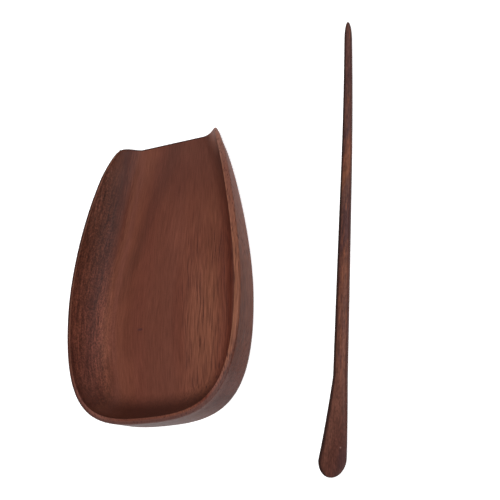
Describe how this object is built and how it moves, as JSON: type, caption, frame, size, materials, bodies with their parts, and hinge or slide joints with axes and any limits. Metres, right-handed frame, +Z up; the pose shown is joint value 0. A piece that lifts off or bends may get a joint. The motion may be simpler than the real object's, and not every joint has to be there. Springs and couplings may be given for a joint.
{
  "type": "wooden tea scoop and spoon set",
  "caption": "Carved wooden tea scoop, an egg-shaped tray open at its narrow end, with a slender tea spoon lying beside it.",
  "frame": {"origin": "on the table, under the middle of the scoop's length and width", "axes": "+Y out of the scoop's spout, +Z up from the table, +X from the scoop towards the spoon"},
  "size_m": [0.1311, 0.1793, 0.0146],
  "materials": {
    "scoop_walnut": "walnut, carved and sanded smooth, satin oil",
    "spoon_walnut": "dark walnut, shaved and sanded smooth, satin oil"
  },
  "bodies": {
    "scoop": {"tea_scoop": "scoop_walnut"},
    "spoon": {"tea_spoon": "spoon_walnut"}
  },
  "joints": [
    {"name": "spoon_lift", "type": "slide", "parent": "scoop", "child": "spoon", "axis": [0, 0, 1], "range_m": [0, 0.1]}
  ]
}
